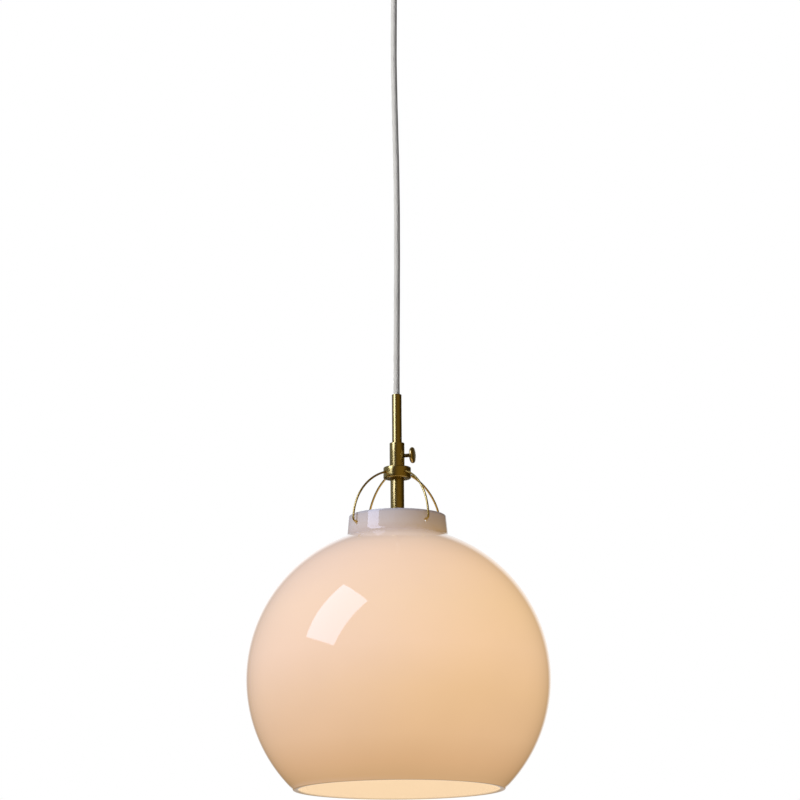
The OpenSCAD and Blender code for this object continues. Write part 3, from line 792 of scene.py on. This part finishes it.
grip_top, grip_low = mm(high("cord_grip_nipple")), mm(low("cord_grip_nipple"))
GRIP_R, GRIP_BORE_R, GRIP_CHAMFER_R = 8, 3.5, 7.2
THROAT_Z, GRIP_CRESTS = -36, 9
grip_screw_z, GRIP_REACH = cup_low - 4, 2.2
CREST_R, ROOT_R = 4.95, 4.5
grip_thread = []
for n in range(GRIP_CRESTS):
    crest_z = cup_low + 1.6 + n
    grip_thread += [(CREST_R, crest_z), (CREST_R, crest_z + 0.12), (ROOT_R, crest_z + 0.5),
                    (ROOT_R, crest_z + 0.62)]
grip_shape = outline_of([
    (GRIP_BORE_R, grip_top, 0.15), (GRIP_BORE_R, grip_screw_z + GRIP_REACH),
    (GRIP_BORE_R, grip_screw_z - GRIP_REACH), (GRIP_BORE_R, THROAT_Z, 4), (6.2, grip_low, 0.3),
    (GRIP_CHAMFER_R, grip_low, 0.4), (GRIP_R, grip_low + 0.8, 0.5), (GRIP_R, grip_screw_z - GRIP_REACH),
    (GRIP_R, grip_screw_z + GRIP_REACH), (GRIP_R, cup_low - 0.8, 0.5), (GRIP_CHAMFER_R, cup_low, 0.3),
    (CREST_R, cup_low), *grip_thread, (ROOT_R, grip_top, 0.2)])
grip_hole = hole(math.pi / 2, grip_screw_z, 4, [(1.85, 0), (1.6, 0.25)],
                 rows_at(grip_shape, GRIP_R, grip_screw_z, GRIP_REACH),
                 rows_at(grip_shape, GRIP_BORE_R, grip_screw_z, GRIP_REACH))
piece("cord_grip", lathe(grip_shape, 96, math.pi / 2, [grip_hole]), "ceiling", "brass_turned",
      ["cord_grip_nipple"])

# --- bulb holder and bulb ----------------------------------------------------------------------------

HOLDER_R, HOLDER_IN_R, GROOVE_R, BOSS_R = 20, 18.8, 19.6, 8.5
piece("holder_dome", turned([
    (HOLDER_IN_R, cap_low, 0.15), (HOLDER_R, cap_low, 0.2), (HOLDER_R, cap_low + 1.2),
    (19.7, cap_low + 1.5, 0.1), (HOLDER_R, cap_low + 1.8), (HOLDER_R, cap_low + 17, 11.5),
    (BOSS_R, cap_low + 17, 0.8), (BOSS_R, cap_top, 0.7), (SLIDE_BORE_R, cap_top, 0.2),
    (SLIDE_BORE_R, cap_low + 15.8, 0.1), (HOLDER_IN_R, cap_low + 15.8, 10.3)], steps=10),
    "stem", "brass_spun", ["holder_cap"])
skirt_low = mm(low("holder_skirt"))
piece("holder_body", turned([
    (HOLDER_IN_R, skirt_low, 0.3), (HOLDER_R, skirt_low, 0.55), (HOLDER_R, skirt_low + 2.4, 0.4),
    (GROOVE_R, skirt_low + 2.8, 0.3), (HOLDER_R, skirt_low + 3.2, 0.2), (HOLDER_R, cap_low - 3, 0.2),
    (GROOVE_R, cap_low - 2.6, 0.2), (HOLDER_R, cap_low - 2.2, 0.2), (HOLDER_R, cap_low, 0.2),
    (HOLDER_IN_R, cap_low, 0.15)]), "stem", "brass_spun", ["holder_skirt"])

BULB_LOW, BULB_HIGH, BULB_R, BULB_T = low("bulb_glass"), high("bulb_glass"), 30 * MM, 1 * MM


def bulb_outline():
    """The frosted globe's closed outline: up the outside from the pole, and down the inside."""
    middle = BULB_LOW + BULB_R
    outside = []
    for n in range(33):
        a = math.radians(-90 + 112 * n / 32)
        outside.append(Vector((BULB_R * math.cos(a), middle + BULB_R * math.sin(a))))
    neck_r, neck_low = 12.2 * MM, BULB_HIGH - 12 * MM
    shoulder = [outside[-1], Vector((21.5 * MM, middle + 19.5 * MM)), Vector((15.0 * MM, neck_low - 10 * MM)),
                Vector((neck_r, neck_low)), Vector((neck_r, BULB_HIGH))]
    outside += [Vector((p.x, p.y)) for p in smooth_path([(q.x, q.y, 0) for q in shoulder], 2 * MM)][1:]
    inside = []
    for n, point in enumerate(outside):
        ahead, behind = outside[min(n + 1, len(outside) - 1)], outside[max(n - 1, 0)]
        along = (ahead - behind).normalized()
        inward = Vector((-along.y, along.x)) * BULB_T
        inside.append(Vector((max(0.0, point.x + inward.x), point.y + inward.y)))
    outside[0].x = inside[0].x = 0.0
    return outside + inside[::-1]


piece("bulb_globe", lathe(bulb_outline(), 96), "bulb", "bulb_glass", ["bulb_glass"])

# --- light -------------------------------------------------------------------------------------------


def panel(name, centre, toward, width_axis, size, power, colour=(1, 1, 1)):
    """A soft rectangular light at centre that faces toward, with its width along width_axis."""
    data = bpy.data.lights.new(name, "AREA")
    data.shape = "RECTANGLE"
    data.size, data.size_y = size
    data.energy = power
    data.color = colour
    light = bpy.data.objects.new(name, data)
    z = (Vector(centre) - Vector(toward)).normalized()
    x = Vector(width_axis)
    x = (x - z * x.dot(z)).normalized()
    y = z.cross(x)
    light.matrix_world = Matrix.Translation(centre) @ Matrix((x, y, z)).transposed().to_4x4()
    light.visible_camera = False
    scene.collection.objects.link(light)
    return light


ball_centre = Vector((0, 0, BALL_Z))
key_way = Vector((-0.654, -0.446, 0.6145)).normalized()
key_place = ball_centre + 1.6 * key_way
KEY_ACROSS, KEY_SIZE = (0.398, -0.89, -0.2), (0.75, 1.06)
# The window that shows in the gloss, and the light that it throws, as two panels in one place.
key = panel("key", key_place, ball_centre, KEY_ACROSS, KEY_SIZE, 10.5, (0.94, 1.02, 1.45))
key.visible_diffuse = False
wash = panel("wash", key_place, ball_centre, KEY_ACROSS, KEY_SIZE, 23, (1.0, 0.985, 0.965))
wash.visible_glossy = False
back = panel("back", ball_centre + Vector((0.6, 2.4, 0.7)), ball_centre, (1, 0, 0), (1.2, 1.2), 14)
back.visible_glossy = False

world = bpy.data.worlds.new("studio")
scene.world = world
world.use_nodes = True
tree = world.node_tree
background = tree.nodes["Background"]


def world_node(kind, settings=None, **values):
    """A node of the surroundings. A value named _0, _1 and so on goes to the input with that number."""
    node = tree.nodes.new("ShaderNode" + kind)
    for key, value in (settings or {}).items():
        setattr(node, key, value)
    for key, value in values.items():
        socket = node.inputs[int(key[1:]) if key[0] == "_" else key]
        if isinstance(value, bpy.types.NodeSocket):
            tree.links.new(value, socket)
        else:
            socket.default_value = value
    return node


way = world_node("TexCoord").outputs["Generated"]


def glow_toward(direction, first, last, dark, bright):
    """A soft patch of the surroundings round a direction, from dark at its edge to bright."""
    along = world_node("VectorMath", {"operation": "DOT_PRODUCT"}, _0=way, _1=direction).outputs["Value"]
    return world_node("MapRange", {"interpolation_type": "SMOOTHSTEP"}, _0=along, _1=first, _2=last,
                      _3=dark, _4=bright).outputs[0]


# What the lamp is reflected from: a white wall behind it, a dim room in front, and dark sides.
white_wall = glow_toward((0.05, 0.965, 0.257), 0.905, 0.985, 0.0, 1.0)
room = glow_toward((0.54, -0.84, 0.0), 0.45, 1.0, 0.05, 0.24)
grey_side = glow_toward((-0.72, 0.48, 0.5), 0.4, 0.95, 0.0, 0.2)
pale = world_node("Math", {"operation": "ADD"}, _0=white_wall, _1=grey_side).outputs[0]
paleness = world_node("Math", {"operation": "MULTIPLY", "use_clamp": True}, _0=pale, _1=5.0).outputs[0]
wall = world_node("Math", {"operation": "ADD"}, _0=pale, _1=room).outputs[0]
# The camera sees plain white, gloss sees a warm room and a pale wall, and the rest is white light.
tint = world_node("Mix", {"data_type": "RGBA"}, _0=paleness, _6=(1.0, 0.66, 0.16, 1), _7=(0.94, 0.97, 1, 1))
seen = world_node("LightPath")
shown = world_node("Mix", {"data_type": "FLOAT"}, _0=seen.outputs["Is Camera Ray"], _2=wall, _3=1.0)
hue = world_node("Mix", {"data_type": "RGBA"}, _0=seen.outputs["Is Glossy Ray"], _6=(1, 1, 1, 1),
                 _7=tint.outputs[2])
tree.links.new(hue.outputs[2], background.inputs["Color"])
tree.links.new(shown.outputs[0], background.inputs["Strength"])

FLOOR_Z, FLOOR_HALF = -4.5, 30.0
floor_mesh = bpy.data.meshes.new("floor")
floor_mesh.from_pydata([(FLOOR_HALF * x, FLOOR_HALF * y, FLOOR_Z)
                        for x, y in ((-1, -1), (1, -1), (1, 1), (-1, 1))], [], [(0, 1, 2, 3)])
floor = bpy.data.objects.new("floor", floor_mesh)
scene.collection.objects.link(floor)
floor.data.materials.append(plain("pale_floor", (0.5, 0.5, 0.5), 0.7, spread=0.02, scale=3,
                                  Emission_Color=(1, 1, 1, 1), Emission_Strength=0.72))
floor.visible_diffuse = False
floor.visible_glossy = False

scene.view_settings.view_transform = "Standard"
scene.cycles.use_denoising = True
